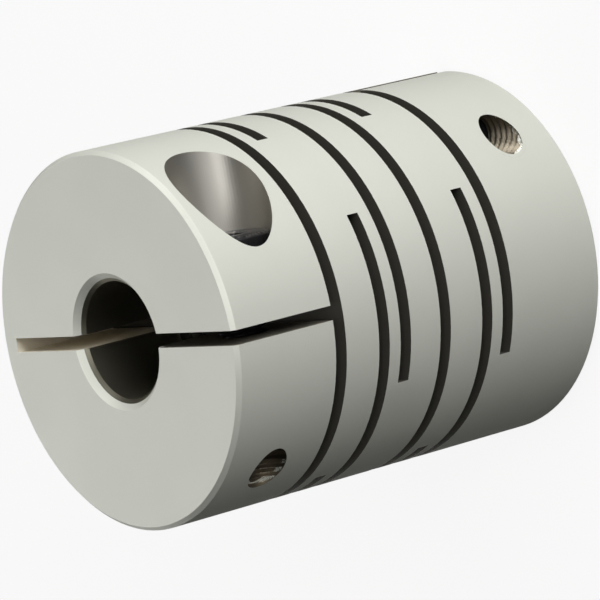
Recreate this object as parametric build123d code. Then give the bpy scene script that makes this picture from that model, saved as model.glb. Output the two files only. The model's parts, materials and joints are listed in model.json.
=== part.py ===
from build123d import *
import os
from math import cos, radians

# Slit coupling with two clamp hubs, machined from one bar of aluminium.
# Millimetres. The shaft axis is Z, the lower end face lies on Z = 0 and the
# origin is the middle of that face. Each hub is closed by one cap screw.

# ---------------------------------------------------------------- body
outer_diameter = 32.0
bore_diameter = 10.0
end_chamfer = 0.35            # outer edge of both end faces
bore_chamfer = 0.8            # mouth of the bore at both ends
hub_length = 10.23            # end face to the first slit

# ---------------------------------------------------------------- slits
slit_width = 1.15
web_thickness = 1.18          # disc left between two slits of one pack
centre_disc = 3.26            # disc left between the two packs
slit_floor = 7.26             # from the axis to the flat floor of a slit
slit_turns = (0, 180, -90, 90)  # open side of each slit of a pack, top to bottom

# ---------------------------------------------------------------- clamps
clamp_slit_width = 1.2
hinge_wall = 1.85             # metal left behind the clamp slit
clamp_lip = 3.05              # metal between the clamp slit and the screw seat
counterbore_wall = 1.4        # metal left outside the counterbore
upper_clamp_turn = -90        # the upper clamp slit opens towards -Y

# ---------------------------------------------------------------- cap screw
thread_diameter = 4.0
thread_clearance = 0.05       # all round, between thread and tapped hole
shank_clearance = 0.25        # all round, in the lip that the screw pulls on
screw_length = 12.0           # under the head
screw_tip_chamfer = 0.4
head_diameter = 7.0
head_height = 4.0
head_chamfer = 0.35
head_clearance = 0.5          # all round, in the counterbore
hex_size = 3.0                # across flats
hex_depth = 2.0
hex_chamfer = 0.2
hex_floor_depth = 0.75        # cone that the drill leaves under the hexagon

overcut = 1.0                 # how far a cutting tool runs past the metal

# ---------------------------------------------------------------- worked out
outer_radius = outer_diameter / 2
bore_radius = bore_diameter / 2
slit_pitch = slit_width + web_thickness
pack_length = len(slit_turns) * slit_pitch - web_thickness
overall_length = 2 * (hub_length + pack_length) + centre_disc
lower_clamp_turn = upper_clamp_turn + slit_turns[-1]

screw_height = hub_length / 2
counterbore_radius = head_diameter / 2 + head_clearance
screw_offset = outer_radius - counterbore_wall - counterbore_radius
seat_level = clamp_slit_width / 2 + clamp_lip
hex_point = hex_size / 2 / cos(radians(30))


def turned_blank():
    """The bar, turned to size, bored through and chamfered at both ends."""
    section = Polyline(
        (bore_radius, 0, bore_chamfer),
        (bore_radius + bore_chamfer, 0, 0),
        (outer_radius - end_chamfer, 0, 0),
        (outer_radius, 0, end_chamfer),
        (outer_radius, 0, overall_length - end_chamfer),
        (outer_radius - end_chamfer, 0, overall_length),
        (bore_radius + bore_chamfer, 0, overall_length),
        (bore_radius, 0, overall_length - bore_chamfer),
        close=True,
    )
    return revolve(make_face(section), Axis.Z)


def slit(turn, top):
    """One saw cut across the bar, open towards turn, with its upper wall at top."""
    reach = slit_floor + outer_radius + overcut
    breadth = outer_diameter + 2 * overcut
    cut = Box(reach, breadth, slit_width, align=(Align.MIN, Align.CENTER, Align.MAX))
    return Rot(0, 0, turn) * Pos(-slit_floor, 0, top) * cut


def slit_pack(top):
    """The slits of one pack, each turned to its own side."""
    return [slit(upper_clamp_turn + turn, top - row * slit_pitch) for row, turn in enumerate(slit_turns)]


def along_screw(radius, start, end):
    """A round tool on the screw's axis, which runs along +Y, from start to end."""
    tool = Cylinder(radius, end - start, align=(Align.CENTER, Align.CENTER, Align.MIN))
    return Pos(0, start, 0) * Rot(-90, 0, 0) * tool


def clamp_cuts():
    """Cuts of one hub, with its end face on Z = 0, the metal below and the slit towards +X."""
    slit_length = 2 * outer_radius - hinge_wall + overcut
    slit_depth = hub_length + slit_width / 2
    clamp_slit = Pos(hinge_wall - outer_radius, 0, overcut) * Box(
        slit_length, clamp_slit_width, slit_depth + overcut, align=(Align.MIN, Align.CENTER, Align.MAX)
    )
    past_surface = outer_radius + overcut
    screw_cuts = [
        along_screw(counterbore_radius, seat_level, past_surface),
        along_screw(thread_diameter / 2 + shank_clearance, 0, seat_level + overcut),
        along_screw(thread_diameter / 2 + thread_clearance, -past_surface, 0),
    ]
    return [clamp_slit] + [Pos(screw_offset, 0, -screw_height) * cut for cut in screw_cuts]


def cap_screw():
    """Socket head cap screw along +Z, with the underside of its head on Z = 0."""
    head_radius = head_diameter / 2
    thread_radius = thread_diameter / 2
    outline = Polyline(
        (0, 0, -screw_length),
        (thread_radius - screw_tip_chamfer, 0, -screw_length),
        (thread_radius, 0, screw_tip_chamfer - screw_length),
        (thread_radius, 0, 0),
        (head_radius, 0, 0),
        (head_radius, 0, head_height - head_chamfer),
        (head_radius - head_chamfer, 0, head_height),
        (0, 0, head_height),
        close=True,
    )
    screw = revolve(make_face(outline), Axis.Z)
    socket = extrude(RegularPolygon(hex_point, 6), -hex_depth)
    drill_point = Cone(0, hex_size / 2, hex_floor_depth, align=(Align.CENTER, Align.CENTER, Align.MAX))
    mouth = Cone(hex_point - hex_chamfer, hex_point + hex_chamfer, 2 * hex_chamfer)
    top = Pos(0, 0, head_height)
    return screw - [top * socket, top * Pos(0, 0, -hex_depth) * drill_point, top * mouth]


# The upper hub has its end face at the top of the body. The lower hub is its
# mirror image in height, turned a quarter turn about the shaft axis.
upper_hub = Pos(0, 0, overall_length) * Rot(0, 0, upper_clamp_turn)
lower_hub = Rot(0, 0, lower_clamp_turn)
seated = Rot(-90, 0, 0)

upper_cuts = [upper_hub * cut for cut in clamp_cuts()]
lower_cuts = [lower_hub * mirror(cut, Plane.XY) for cut in clamp_cuts()]
upper_pack = slit_pack(overall_length - hub_length)
lower_pack = slit_pack(hub_length + pack_length)

coupling_body = turned_blank() - upper_cuts - lower_cuts - upper_pack - lower_pack
coupling_body.label = "coupling_body"

upper_clamp_screw = upper_hub * Pos(screw_offset, seat_level, -screw_height) * seated * cap_screw()
upper_clamp_screw.label = "upper_clamp_screw"

lower_clamp_screw = lower_hub * Pos(screw_offset, seat_level, screw_height) * seated * cap_screw()
lower_clamp_screw.label = "lower_clamp_screw"

os.makedirs("parts", exist_ok=True)
for piece in (coupling_body, upper_clamp_screw, lower_clamp_screw):
    export_step(piece, f"parts/{piece.label}.step")
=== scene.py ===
import json
from math import ceil, cos, pi, radians, sin, sqrt, tau

import bmesh
import bpy
from bpy.props import FloatProperty, FloatVectorProperty, IntProperty, PointerProperty
from bpy.types import Operator, Panel, PropertyGroup
from mathutils import Matrix, Vector


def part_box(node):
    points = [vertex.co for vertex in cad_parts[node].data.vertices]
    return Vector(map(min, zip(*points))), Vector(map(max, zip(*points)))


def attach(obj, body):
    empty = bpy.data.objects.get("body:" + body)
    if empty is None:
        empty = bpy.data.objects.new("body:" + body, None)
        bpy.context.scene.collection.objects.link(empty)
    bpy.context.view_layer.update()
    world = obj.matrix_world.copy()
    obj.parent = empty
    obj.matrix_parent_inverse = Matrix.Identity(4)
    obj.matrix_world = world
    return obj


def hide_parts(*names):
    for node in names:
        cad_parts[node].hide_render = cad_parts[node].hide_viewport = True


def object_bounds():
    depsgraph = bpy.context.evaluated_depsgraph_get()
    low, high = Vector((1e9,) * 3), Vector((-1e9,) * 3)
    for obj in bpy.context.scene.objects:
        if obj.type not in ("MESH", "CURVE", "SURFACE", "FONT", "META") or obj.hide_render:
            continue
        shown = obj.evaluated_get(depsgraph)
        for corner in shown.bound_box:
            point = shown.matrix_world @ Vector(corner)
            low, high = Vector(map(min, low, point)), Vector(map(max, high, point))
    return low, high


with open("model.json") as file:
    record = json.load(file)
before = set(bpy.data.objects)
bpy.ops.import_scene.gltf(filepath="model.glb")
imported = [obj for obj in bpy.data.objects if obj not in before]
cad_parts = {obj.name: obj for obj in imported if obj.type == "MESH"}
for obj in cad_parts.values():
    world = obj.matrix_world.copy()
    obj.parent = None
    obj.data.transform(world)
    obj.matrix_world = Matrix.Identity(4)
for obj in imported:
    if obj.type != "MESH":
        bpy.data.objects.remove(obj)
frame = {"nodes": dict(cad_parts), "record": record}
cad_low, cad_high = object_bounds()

bl_info = {
    "name": "Slit Coupling Finisher",
    "version": (1, 0, 0),
    "blender": (4, 5, 0),
    "location": "3D View > Sidebar > Coupling",
    "description": "Finishes a clamp hub slit coupling: metal surfaces, cut threads, cap screws and studio",
    "category": "Object",
}

BODY_NODE = "coupling_body"
SCREW_NODES = ("upper_clamp_screw", "lower_clamp_screw")
ONLY_BODY = "root"
MM = 0.001

OUTER_RADIUS = (cad_high.x - cad_low.x) / 2
BORE_RADIUS = frame["record"]["mounts"][0]["dims"]["r_mm"] * MM
HUB_LENGTH = 10.2 * MM       # each hub ends at the first slit
BORE_CHAMFER = 0.85 * MM     # the chamfer at the mouth of the bore, with a little spare
HEAD_SPACE = 0.53 * MM       # space round a screw head in its counterbore, with a little spare
SKIN_DEPTH = 0.5 * MM        # outer layer in which a surface that faces outwards is skin
NEAR = 0.03 * MM             # spare distance when a place is told from its neighbour
TAP_SPARE = 0.08 * MM        # the same for the wall of a tapped hole, past the radius of the screw
SLIT_INSIDE = -0.3 * MM      # level inside the clamp slit below which a hole is tapped
FACING_OUT = 0.6             # least share of a skin's facing that points away from the shaft axis
FLOOR_GAP = 0.02 * MM        # gap under the coupling, so that its end and the floor don't mix
CLOUD_SIZE = 6.0             # millimetres across the faint patches of the anodising
CLOUD_SHADE = 0.985          # brightness of their darker parts
CLOUD_ROUGHNESS = 0.03       # difference of roughness across them
THREAD_FLAT = 1 / 8          # flat at crest and root, as a share of half a pitch
EDGE = 0.1 * MM              # width of the small steps and chamfers on the screw
SIDES = 120                  # sides of every turned piece: a multiple of six for the hexagon


# ---------------------------------------------------------------- sizes and colours
def length(name, text, default):
    return FloatProperty(name=name, description=text, default=default, min=0, precision=5, unit="LENGTH")


def share(name, text, default):
    return FloatProperty(name=name, description=text, default=default, min=0, max=1, subtype="FACTOR")


def colour(name, text, default):
    limits = {"size": 3, "min": 0, "max": 1}
    return FloatVectorProperty(name=name, description=text, default=default, subtype="COLOR", **limits)


def angle(name, text, default):
    turn = radians(default)
    return FloatProperty(name=name, description=text, default=turn, unit="ROTATION", subtype="ANGLE")


def offset(name, text, default):
    return FloatProperty(name=name, description=text, default=default, precision=5, unit="LENGTH")


class BodyFinish(PropertyGroup):
    """Finish of the machined and anodised body, with painted shade in its slits and bore and painted light on
    the hinge walls of its clamp slits.
    """

    anodised: colour("Anodised", "Colour of the anodised outside", (0.735, 0.745, 0.67))
    # Painted shade: the sawn walls of the clamp slits are made dark where the slit opens, for the shade
    # inside the slit.
    sawn: colour("Sawn", "Colour of the walls of the clamp slits, where they open", (0.20, 0.185, 0.15))
    # Painted light: the same sawn walls, behind the bore, get a light tan for the light that falls on them.
    hinge_painted_light: colour("Hinge", "Colour of the walls of the clamp slits, behind the bore", (0.88, 0.82, 0.69))
    # Painted shade: the walls of the narrow slits are near black, for the shade deep inside them.
    slit: colour("Slit", "Colour of the walls of the narrow slits between the hubs", (0.09, 0.085, 0.07))
    # Painted shade: the reamed wall of the bore is made dark for the shade inside the bore.
    bore: colour("Bore", "Colour of the dark anodised wall of the bore", (0.24, 0.23, 0.18))
    # How far the painted shade of the bore runs up its chamfer.
    bore_shade_edge: length("Bore edge", "How far the dark wall of the bore runs up its chamfer", 0.3 * MM)
    reamed: colour("Reamed", "Colour of the counterbores", (0.58, 0.56, 0.51))
    tapped: colour("Tapped", "Colour of the bare metal of the tapped holes", (0.24, 0.21, 0.16))
    shine: share("Shine", "How far the blasted skin reflects as bare metal does", 0.3)
    sawn_shine: share("Sawn shine", "How far the saw cuts reflect as bare metal does", 0.35)
    skin_roughness: share("Side roughness", "Roughness of the turned and blasted side", 0.46)
    reamed_roughness: share("Bored roughness", "Roughness of the bore and the counterbores", 0.42)
    lathe_feed: length("Lathe feed", "Distance between two marks of the turning tool", 0.16 * MM)
    mark_depth: length("Mark depth", "Depth of the marks of the turning tool", 0.0012 * MM)
    grain_size: length("Grain size", "Size of the blasted grain", 0.12 * MM)
    grain_depth: length("Grain depth", "Depth of the blasted grain", 0.0030 * MM)


class ThreadShape(PropertyGroup):
    """Thread of the cap screws and of the holes they are driven into."""

    pitch: length("Pitch", "Rise of the thread in one turn", 0.7 * MM)
    screw_depth: length("Screw thread depth", "Height of the thread on the screw", 0.43 * MM)
    hole_depth: length("Hole thread depth", "Height of the thread in the hole", 0.27 * MM)
    hole_play: length("Play", "Space between the thread of the screw and the wall of its hole", 0.045 * MM)
    half_slit: length("Half slit", "Half the width of the clamp slit, where the tapped hole begins", 0.6 * MM)
    run_out: length("Run out", "Distance over which the thread of the screw fades at an end", 0.35 * MM)
    steps: IntProperty(name="Steps", description="Rings along one pitch", default=8, min=4, max=24)


class ScrewShape(PropertyGroup):
    """Head of the cap screws."""

    blackened: colour("Black oxide", "Colour of the blackened steel", (0.028, 0.028, 0.030))
    worn: colour("Worn edge", "Colour of the steel where a key has rubbed it", (0.16, 0.15, 0.14))
    hex_size: length("Key size", "Width across flats of the hexagon socket", 3.0 * MM)
    hex_depth: length("Socket depth", "Depth of the hexagon socket", 2.0 * MM)
    drill_depth: length("Drill point", "Depth of the cone under the hexagon", 0.7 * MM)
    mouth_chamfer: length("Mouth chamfer", "Chamfer at the mouth of the socket", 0.15 * MM)
    top_chamfer: length("Top chamfer", "Chamfer of the upper edge of the head", 0.35 * MM)
    knurl_depth: length("Knurl depth", "Depth of the grooves round the head", 0.09 * MM)
    knurl_margin: length("Knurl margin", "Smooth band below and above the knurl", 0.35 * MM)


class StudioSetup(PropertyGroup):
    """Camera, lamps and floor."""

    azimuth: angle("Azimuth", "Turn of the view about the shaft axis", -7.43)
    elevation: angle("Elevation", "Height of the camera above the floor", 37.94)
    roll: angle("Roll", "Turn of the picture about the line of sight", -104.43)
    distance: length("Distance", "Camera to the middle of the coupling", 381.3 * MM)
    lens: FloatProperty(name="Lens", description="Focal length", default=268.6, unit="CAMERA")
    aim_right: offset("Aim right", "Aim beside the middle", -0.07 * MM)
    aim_up: offset("Aim up", "Aim above the middle", -0.45 * MM)
    floor: colour("Floor", "Colour of the floor", (0.90, 0.90, 0.89))
    bounce: colour("Bounce", "Colour that the floor throws back on the object", (0.10, 0.10, 0.095))
    floor_white: share("Floor white", "How far the floor fades to white for the camera", 0.88)
    floor_glow: share("Floor glow", "How white the bright end of the floor looks in the metal", 0.05)
    glow_start: offset("Glow start", "Where the floor begins to brighten, along X", -60 * MM)
    glow_end: offset("Glow end", "Where the floor is brightest, along X", 40 * MM)
    floor_size: length("Floor size", "Side of the floor", 3.0)
    sky: share("Sky", "Strength of the even light from all round", 0.03)


# ---------------------------------------------------------------- shader graph
class Wire:
    """An output socket of a node, on which sums are written as on a number."""

    def __init__(self, graph, socket):
        self.graph = graph
        self.socket = socket

    def maths(self, operation, *values):
        inputs = dict(enumerate((self, *values)))
        return self.graph.wire("ShaderNodeMath", {"operation": operation}, inputs)

    def __add__(self, other):
        return self.maths("ADD", other)

    def __mul__(self, other):
        return self.maths("MULTIPLY", other)

    def __sub__(self, other):
        return self.maths("SUBTRACT", other)

    def __rsub__(self, other):
        return self.graph.wire("ShaderNodeMath", {"operation": "SUBTRACT"}, {0: other, 1: self})

    def __pow__(self, other):
        return self.maths("POWER", other)

    __radd__ = __add__
    __rmul__ = __mul__

    def sine(self):
        return self.maths("SINE")

    def over(self, limit):
        return self.maths("GREATER_THAN", limit)

    def under(self, limit):
        return self.maths("LESS_THAN", limit)

    def fade(self, low, high):
        """0 below low and 1 above high, with a soft step between them."""
        settings = {"interpolation_type": "SMOOTHSTEP"}
        inputs = {"Value": self, "From Min": low, "From Max": high}
        return self.graph.wire("ShaderNodeMapRange", settings, inputs)


class Graph:
    """The nodes of one material or world."""

    def __init__(self, owner):
        owner.use_nodes = True
        self.tree = owner.node_tree
        self.tree.nodes.clear()

    def node(self, kind, settings=None, inputs=None):
        made = self.tree.nodes.new(kind)
        for name, value in (settings or {}).items():
            setattr(made, name, value)
        for key, value in (inputs or {}).items():
            if isinstance(value, Wire):
                self.tree.links.new(value.socket, made.inputs[key])
            else:
                made.inputs[key].default_value = value
        return made

    def wire(self, kind, settings=None, inputs=None, output=0):
        return Wire(self, self.node(kind, settings, inputs).outputs[output])

    def millimetres(self):
        """The place on the piece as a vector in millimetres, with its three parts and its radius."""
        place = self.wire("ShaderNodeTexCoord", output="Object")
        scaled = self.wire("ShaderNodeVectorMath", {"operation": "SCALE"}, {0: place, "Scale": 1 / MM})
        parts = self.node("ShaderNodeSeparateXYZ", None, {0: scaled}).outputs
        x, y, z = (Wire(self, part) for part in parts)
        return scaled, x, y, z, distance(x, y)

    def outwards(self, x, y):
        """How far the surface faces away from the shaft axis, times the radius."""
        facing = self.node("ShaderNodeNewGeometry").outputs["True Normal"]
        parts = self.node("ShaderNodeSeparateXYZ", None, {0: Wire(self, facing)}).outputs
        return Wire(self, parts[0]) * x + Wire(self, parts[1]) * y

    def noise(self, vector, size, detail=2.0):
        """Noise from 0 to 1, with lumps of about size millimetres."""
        inputs = {"Vector": vector, "Scale": 1 / size, "Detail": detail}
        return self.wire("ShaderNodeTexNoise", None, inputs, "Fac")

    def blend(self, factor, first, second):
        """A colour that goes from first to second as factor rises."""
        mixer = self.node("ShaderNodeMix", {"data_type": "RGBA"}, {0: factor})
        for socket, value in ((mixer.inputs[6], first), (mixer.inputs[7], second)):
            if isinstance(value, Wire):
                self.tree.links.new(value.socket, socket)
            else:
                socket.default_value = (*value, 1)
        return Wire(self, mixer.outputs[2])

    def bump(self, height, distance_m):
        return self.wire("ShaderNodeBump", None, {"Height": height, "Distance": distance_m, "Strength": 1.0})

    def surface(self, shader):
        self.node("ShaderNodeOutputMaterial", None, {"Surface": shader})


def distance(first, second):
    """Length of the line with these two parts."""
    return (first * first + second * second) ** 0.5


def darker(shade, share_left):
    """A colour with only that share of its light left. A share over 1 makes it lighter."""
    return [share_left * part for part in shade]


# ---------------------------------------------------------------- finishes
def machined_aluminium(look, screws):
    """Anodised skin, turned faces, reamed bores and sawn slits on one mesh, told apart by place. The slit
    walls and the bore carry painted shade, the hinge walls of the clamp slits painted light.
    """
    material = bpy.data.materials.new("machined_aluminium")
    graph = Graph(material)
    place, x, y, z, radius = graph.millimetres()
    near = NEAR / MM
    top = cad_high.z / MM

    outwards = graph.outwards(x, y)
    skin = radius.over((OUTER_RADIUS - SKIN_DEPTH) / MM) * (outwards - radius * FACING_OUT).over(0.0)
    # Painted shade: mask of the bore, reaching a little way up its chamfer.
    bore = radius.under((BORE_RADIUS + look.bore_shade_edge) / MM)
    faces = z.over(top - near) + z.under(near)
    mouth = (1 - bore) * radius.under((BORE_RADIUS + BORE_CHAMFER) / MM)
    chamfers = mouth * (z.over(top - BORE_CHAMFER / MM) + z.under(BORE_CHAMFER / MM))
    faces = (faces + chamfers).fade(0.0, 1.0)
    pockets = bore
    threads = 0.0
    for screw in screws:
        along, across = (x, y) if screw.axis.x > 0.5 else (y, x)
        across_axis = screw.seat.y if screw.axis.x > 0.5 else screw.seat.x
        off_axis = distance(across - across_axis / MM, z - screw.seat.z / MM)
        wall = off_axis.under((screw.head_radius + HEAD_SPACE) / MM)
        pockets = pockets + wall * along.over(screw.seat_level / MM - near)
        tapped = off_axis.under((screw.thread_radius + TAP_SPARE) / MM)
        threads = threads + tapped * along.under(SLIT_INSIDE / MM)
    outside = (skin + faces).fade(0.0, 1.0)
    pockets = pockets.fade(0.0, 1.0) * (1 - outside)
    threads = threads.fade(0.0, 1.0) * (1 - outside)

    clouds = graph.noise(place, CLOUD_SIZE, 1.0)
    tint = graph.blend(clouds.fade(0.35, 0.65), look.anodised, darker(look.anodised, CLOUD_SHADE))
    bright = (threads + pockets).fade(0.0, 1.0)
    # Painted shade: the inner walls between the hubs, the narrow slits, take the near-black slit colour.
    narrow_slit_shade_zone = z.over(HUB_LENGTH / MM) * z.under(top - HUB_LENGTH / MM)
    # Painted light and shade in the clamp slits: light tan on the walls behind the bore, dark sawn walls
    # where the slit opens.
    hinge_light_zone = z.over(top / 2) * y.over(0.0) + z.under(top / 2) * x.under(0.0)
    clamp_slit_light_and_shade = graph.blend(hinge_light_zone, look.sawn, look.hinge_painted_light)
    cuts = graph.blend(narrow_slit_shade_zone, clamp_slit_light_and_shade, look.slit)
    # The bore takes its painted shade here, the counterbores their reamed colour.
    bored_walls = graph.blend(pockets, cuts, graph.blend(bore, look.reamed, look.bore))
    inner = graph.blend(threads, bored_walls, look.tapped)
    base = graph.blend(outside, inner, tint)

    marks_along = (z * (tau * MM / look.lathe_feed)).sine() * (1 - faces)
    marks_across = (radius * (tau * MM / look.lathe_feed)).sine() * faces
    grain = graph.noise(place, look.grain_size / MM, 3.0)
    marks = graph.bump(marks_along + marks_across, look.mark_depth)
    bumped = graph.wire("ShaderNodeBump", None, {
        "Height": grain * outside,
        "Distance": look.grain_depth,
        "Strength": 1.0,
        "Normal": marks,
    })
    roughness = look.skin_roughness + (clouds - 0.5) * CLOUD_ROUGHNESS
    roughness = roughness - pockets * (look.skin_roughness - look.reamed_roughness)
    metal = look.sawn_shine + outside * (look.shine - look.sawn_shine) + bright * (1 - look.sawn_shine)
    shader = graph.wire("ShaderNodeBsdfPrincipled", None, {
        "Base Color": base,
        "Roughness": roughness,
        "Metallic": metal,
        "Normal": bumped,
    })
    graph.surface(shader)
    return material


def black_oxide(shape, head_radius, head_height):
    """Blackened steel, rubbed bright at the edges of the head and of the socket."""
    material = bpy.data.materials.new("black_oxide_steel")
    graph = Graph(material)
    place, _, _, z, radius = graph.millimetres()
    top = head_height / MM
    rim = (head_radius - shape.top_chamfer / 2) / MM
    mouth = (shape.hex_size / sqrt(3) + shape.mouth_chamfer / 2) / MM
    near_top = z.fade(top - 0.45, top - 0.05)
    on_rim = 1 - distance(radius - rim, 0.0).fade(0.05, 0.22)
    on_mouth = 1 - distance(radius - mouth, 0.0).fade(0.04, 0.2)
    speckle = graph.noise(place, 0.3, 3.0)
    rubbed = (on_rim + on_mouth) * near_top * speckle.fade(0.4, 0.62)
    cloudy = graph.noise(place, 1.2, 2.0)
    dark = graph.blend(cloudy, shape.blackened, darker(shape.blackened, 1.5))
    shader = graph.wire("ShaderNodeBsdfPrincipled", None, {
        "Base Color": graph.blend(rubbed, dark, shape.worn),
        "Roughness": 0.34 + cloudy * 0.12,
        "Metallic": 0.75,
        "Normal": graph.bump(speckle, 0.003 * MM),
    })
    graph.surface(shader)
    return material


# ---------------------------------------------------------------- mesh helpers
def angles():
    return [tau * step / SIDES for step in range(SIDES)]


def skin_through(name, rings, looped=False):
    """A closed skin through rings of points. A looped one joins its last ring to its first."""
    shell = bmesh.new()
    rows = [[shell.verts.new(point) for point in ring] for ring in rings]
    pairs = list(zip(rows, rows[1:]))
    if looped:
        pairs.append((rows[-1], rows[0]))
    else:
        shell.faces.new(rows[0])
        shell.faces.new(rows[-1])
    for lower, upper in pairs:
        for step in range(len(lower)):
            shell.faces.new((lower[step - 1], lower[step], upper[step], upper[step - 1]))
    bmesh.ops.recalc_face_normals(shell, faces=shell.faces)
    mesh = bpy.data.meshes.new(name)
    shell.to_mesh(mesh)
    shell.free()
    mesh.shade_smooth()
    mesh.set_sharp_from_angle(angle=radians(32))
    piece = bpy.data.objects.new(name, mesh)
    bpy.context.scene.collection.objects.link(piece)
    return piece


def ring(rule, height):
    """Points round the axis at one height, at the radius that rule gives for each angle."""
    return [(rule(turn) * cos(turn), rule(turn) * sin(turn), height) for turn in angles()]


def circle(radius):
    return lambda turn: radius


def hexagon(across_flats):
    return lambda turn: across_flats / 2 / cos((turn + pi / 6) % (pi / 3) - pi / 6)


def knurl(radius, depth):
    """A groove at every third side."""
    return lambda turn: radius - depth * (round(turn * SIDES / tau) % 3 == 0)


def thread_height(turns):
    """Share of the full height of a thread, for a point that many turns along it."""
    from_crest = abs(2 * (turns % 1) - 1)
    return min(1.0, max(0.0, (1 - from_crest - THREAD_FLAT) / (1 - 2 * THREAD_FLAT)))


class ScrewPlace:
    """Where a cap screw of the frame sits, and its main sizes, read from its node."""

    def __init__(self, node):
        low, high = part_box(node)
        extent = high - low
        self.axis = Vector((1, 0, 0)) if extent.x > extent.y else Vector((0, 1, 0))
        middle = (low + high) / 2
        self.head_radius = extent.z / 2
        tip, crown = low.dot(self.axis), high.dot(self.axis)
        points = [vertex.co for vertex in frame["nodes"][node].data.vertices]
        spans = [(point.dot(self.axis), ((point - middle).cross(self.axis)).length) for point in points]
        head = [along for along, off in spans if off > 0.99 * self.head_radius]
        self.seat_level = min(head)
        self.thread_radius = max(off for along, off in spans if along < self.seat_level - 0.1 * MM)
        self.head_height = crown - self.seat_level
        self.screw_length = self.seat_level - tip
        self.seat = middle + self.axis * (self.seat_level - middle.dot(self.axis))

    def matrix(self):
        """Turns a screw modelled along Z, with its seat at the origin, into its place."""
        up = Vector((0, 0, 1))
        side = self.axis.cross(up)
        return Matrix.Translation(self.seat) @ Matrix((up, side, self.axis)).transposed().to_4x4()


def screw_rings(place, thread, shape):
    """Rings of a cap screw from its tip, up over the head and down into the socket."""
    core = place.thread_radius - thread.screw_depth
    tip = -place.screw_length
    neck = -thread.run_out

    def threaded(height):
        near_tip = (height - tip) / thread.run_out
        near_neck = (neck - height) / thread.run_out
        full = max(0.0, min(1.0, 0.25 + near_tip, near_neck))
        height_of_thread = full * thread.screw_depth
        return lambda turn: core + height_of_thread * thread_height(height / thread.pitch - turn / tau)

    rows = ceil((neck - tip) / thread.pitch * thread.steps)
    levels = [tip + (neck - tip) * row / rows for row in range(rows + 1)]
    rings = [ring(threaded(level), level) for level in levels]
    top = place.head_height
    head = circle(place.head_radius)
    grooved = knurl(place.head_radius, shape.knurl_depth)
    knurl_top = top - shape.top_chamfer - shape.knurl_margin
    rings += [
        ring(circle(core), -1.5 * EDGE),
        ring(circle(core + 2 * EDGE), 0.0),
        ring(circle(place.head_radius - EDGE), 0.0),
        ring(head, EDGE),
        ring(head, shape.knurl_margin - EDGE),
        ring(grooved, shape.knurl_margin),
        ring(grooved, knurl_top),
        ring(head, knurl_top + EDGE),
        ring(head, top - shape.top_chamfer),
        ring(circle(place.head_radius - 0.8 * shape.top_chamfer), top - 0.2 * shape.top_chamfer),
        ring(circle(place.head_radius - 1.6 * shape.top_chamfer), top),
        ring(circle(shape.hex_size / sqrt(3) + shape.mouth_chamfer), top),
        ring(hexagon(shape.hex_size), top - shape.mouth_chamfer),
        ring(hexagon(shape.hex_size), top - shape.hex_depth),
        ring(circle(shape.hex_size / 2), top - shape.hex_depth),
        ring(circle(EDGE), top - shape.hex_depth - shape.drill_depth),
    ]
    return rings


def hole_rings(place, thread):
    """Rings of the thread in a tapped hole, from the clamp slit out to the curved side of the body."""
    wall = place.thread_radius + thread.hole_play
    to_world = place.matrix()
    start = -place.seat_level - thread.half_slit

    def point(radius, turn, height):
        return to_world @ Vector((radius * cos(turn), radius * sin(turn), height))

    def side_level(radius, turn):
        """Height at which a line along the hole comes out through the side of the body."""
        foot = point(radius, turn, 0)
        across = foot - place.axis * foot.dot(place.axis)
        return -sqrt(OUTER_RADIUS ** 2 - across.x ** 2 - across.y ** 2) - foot.dot(place.axis)

    def thread_point(turn, share_out):
        radius = wall
        for step in range(6):
            height = start + (side_level(radius, turn) - start) * share_out
            to_mouth = (height - side_level(radius, turn)) / thread.run_out
            ridge = max(1 - to_mouth, thread_height(height / thread.pitch - turn / tau + 0.5))
            radius = wall - thread.hole_depth * ridge - 0.01 * MM
        return point(radius, turn, start + (side_level(radius, turn) - start) * share_out)

    deepest = min(side_level(wall, turn) for turn in angles())
    rows = ceil((start - deepest) / thread.pitch * thread.steps)
    rings = [[thread_point(turn, row / rows) for turn in angles()] for row in range(rows + 1)]
    rings.append([point(wall, turn, side_level(wall, turn)) for turn in angles()])
    rings.append([point(wall, turn, start) for turn in angles()])
    return rings


# ---------------------------------------------------------------- operators
class COUPLING_OT_finish_body(Operator):
    """Give the body its anodised, turned, reamed and sawn surfaces, with painted shade in the slits and the
    bore and painted light on the hinge walls
    """

    bl_idname = "coupling.finish_body"
    bl_label = "Finish Body"

    def execute(self, context):
        screws = [ScrewPlace(node) for node in SCREW_NODES]
        body = frame["nodes"][BODY_NODE]
        body.data.materials.clear()
        body.data.materials.append(machined_aluminium(context.scene.coupling_body_finish, screws))
        return {"FINISHED"}


class COUPLING_OT_tap_holes(Operator):
    """Add the thread of both tapped holes"""

    bl_idname = "coupling.tap_holes"
    bl_label = "Tap Holes"

    def execute(self, context):
        thread = context.scene.coupling_thread
        metal = frame["nodes"][BODY_NODE].data.materials[0]
        for node in SCREW_NODES:
            rings = hole_rings(ScrewPlace(node), thread)
            piece = skin_through(node.replace("clamp_screw", "tapped_thread"), rings, looped=True)
            piece.data.materials.append(metal)
            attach(piece, ONLY_BODY)
        return {"FINISHED"}


class COUPLING_OT_fit_screws(Operator):
    """Put a knurled and threaded cap screw in the place of each plain one"""

    bl_idname = "coupling.fit_screws"
    bl_label = "Fit Screws"

    def execute(self, context):
        thread = context.scene.coupling_thread
        shape = context.scene.coupling_screw
        for node in SCREW_NODES:
            place = ScrewPlace(node)
            piece = skin_through(node + "_detailed", screw_rings(place, thread, shape))
            piece.data.materials.append(black_oxide(shape, place.head_radius, place.head_height))
            piece.matrix_world = place.matrix()
            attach(piece, ONLY_BODY)
            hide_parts(node)
        return {"FINISHED"}


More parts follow.
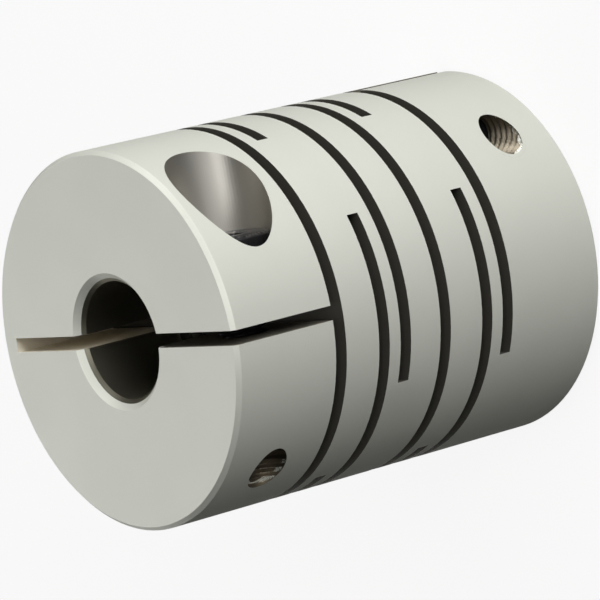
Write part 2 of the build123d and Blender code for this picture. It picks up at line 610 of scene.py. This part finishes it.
# Name, turn about the shaft axis and rise above the floor in degrees, then distance, width and height
# in metres, and watts. A turn of 0 is in front of the upper clamp slit.
SOFTBOXES = (
    ("key", 42, 12, 0.60, 0.60, 0.40, 4.2),
    ("fill", 92, 12, 0.45, 0.25, 0.25, 0.9),
    ("front", 10, 48, 0.45, 0.20, 0.20, 0.35),
    ("overhead", 187, 38, 0.45, 0.40, 0.40, 0.38),
    ("back", 205, 12, 0.60, 0.50, 0.40, 1.2),
)


def softbox(name, turn, rise, away, width, height, watts):
    """A rectangular lamp that faces the middle of the coupling."""
    lamp = bpy.data.lights.new(name, "AREA")
    lamp.shape = "RECTANGLE"
    lamp.size = width
    lamp.size_y = height
    lamp.energy = watts
    placed = bpy.data.objects.new(name, lamp)
    bpy.context.scene.collection.objects.link(placed)
    turn, rise = radians(turn), radians(rise)
    towards = Vector((sin(turn) * cos(rise), -cos(turn) * cos(rise), sin(rise)))
    placed.location = (cad_low + cad_high) / 2 + towards * away
    placed.rotation_euler = towards.to_track_quat("Z", "Y").to_euler()


class COUPLING_OT_set_studio(Operator):
    """Set up the floor, the lamps and the camera"""

    bl_idname = "coupling.set_studio"
    bl_label = "Set Studio"

    def execute(self, context):
        setup = context.scene.coupling_studio
        self.lay_floor(setup)
        for row in SOFTBOXES:
            softbox(*row)
        self.light_sky(setup)
        self.place_camera(setup)
        context.scene.view_settings.view_transform = "Standard"
        return {"FINISHED"}

    def lay_floor(self, setup):
        half = setup.floor_size / 2
        level = cad_low.z - FLOOR_GAP
        mesh = bpy.data.meshes.new("floor")
        corners = [(-half, -half, level), (half, -half, level), (half, half, level), (-half, half, level)]
        mesh.from_pydata(corners, [], [(0, 1, 2, 3)])
        floor = bpy.data.objects.new("floor", mesh)
        bpy.context.scene.collection.objects.link(floor)
        material = bpy.data.materials.new("floor_paper")
        graph = Graph(material)
        _, x, _, _, radius = graph.millimetres()
        path = graph.node("ShaderNodeLightPath").outputs
        seen = Wire(graph, path["Is Camera Ray"])
        mirrored = Wire(graph, path["Is Glossy Ray"]) + Wire(graph, path["Is Transmission Ray"])
        grade = x.fade(setup.glow_start / MM, setup.glow_end / MM) * radius.over(OUTER_RADIUS / MM)
        base = graph.blend(seen, setup.bounce, setup.floor)
        paper = graph.wire("ShaderNodeBsdfPrincipled", None, {"Base Color": base, "Roughness": 0.9})
        glow = graph.wire("ShaderNodeEmission", None, {"Strength": mirrored * grade * setup.floor_glow})
        white = graph.wire("ShaderNodeEmission", None, {"Strength": 1.0})
        lit = graph.wire("ShaderNodeAddShader", None, {0: paper, 1: glow})
        whitened = seen * setup.floor_white
        graph.surface(graph.wire("ShaderNodeMixShader", None, {0: whitened, 1: lit, 2: white}))
        mesh.materials.append(material)

    def light_sky(self, setup):
        world = bpy.data.worlds.new("sky")
        bpy.context.scene.world = world
        graph = Graph(world)
        path = graph.node("ShaderNodeLightPath").outputs
        seen = Wire(graph, path["Is Camera Ray"])
        strength = seen * (1 - setup.sky) + setup.sky
        sky = graph.wire("ShaderNodeBackground", None, {"Color": (1, 1, 1, 1), "Strength": strength})
        graph.node("ShaderNodeOutputWorld", None, {"Surface": sky})

    def place_camera(self, setup):
        ahead = Vector((
            sin(setup.azimuth) * cos(setup.elevation),
            cos(setup.azimuth) * cos(setup.elevation),
            -sin(setup.elevation),
        ))
        level = ahead.cross(Vector((0, 0, 1))).normalized()
        above = level.cross(ahead)
        right = level * cos(setup.roll) + above * sin(setup.roll)
        up = right.cross(ahead)
        lens = bpy.data.cameras.new("camera")
        lens.lens = setup.lens
        lens.clip_start = 0.01
        camera = bpy.data.objects.new("camera", lens)
        bpy.context.scene.collection.objects.link(camera)
        aim = (cad_low + cad_high) / 2 + right * setup.aim_right + up * setup.aim_up
        turned = Matrix((right, up, -ahead)).transposed().to_4x4()
        camera.matrix_world = Matrix.Translation(aim - ahead * setup.distance) @ turned
        bpy.context.scene.camera = camera


class COUPLING_PT_sidebar(Panel):
    """The steps of the finish, in order"""

    bl_idname = "COUPLING_PT_sidebar"
    bl_label = "Slit Coupling"
    bl_space_type = "VIEW_3D"
    bl_region_type = "UI"
    bl_category = "Coupling"

    def draw(self, context):
        for group in SETTINGS:
            settings = getattr(context.scene, group)
            column = self.layout.column()
            for name in settings.__annotations__:
                column.prop(settings, name)
        for step in STEPS:
            self.layout.operator(step.bl_idname)


SETTINGS = {
    "coupling_body_finish": BodyFinish,
    "coupling_thread": ThreadShape,
    "coupling_screw": ScrewShape,
    "coupling_studio": StudioSetup,
}
STEPS = (COUPLING_OT_finish_body, COUPLING_OT_tap_holes, COUPLING_OT_fit_screws, COUPLING_OT_set_studio)
CLASSES = (*SETTINGS.values(), *STEPS, COUPLING_PT_sidebar)


def register():
    for group in CLASSES:
        bpy.utils.register_class(group)
    for name, group in SETTINGS.items():
        setattr(bpy.types.Scene, name, PointerProperty(type=group))


def unregister():
    for name in SETTINGS:
        delattr(bpy.types.Scene, name)
    for group in reversed(CLASSES):
        bpy.utils.unregister_class(group)


def main():
    register()
    bpy.ops.coupling.finish_body()
    bpy.ops.coupling.tap_holes()
    bpy.ops.coupling.fit_screws()
    bpy.ops.coupling.set_studio()


if __name__ == "__main__":
    main()
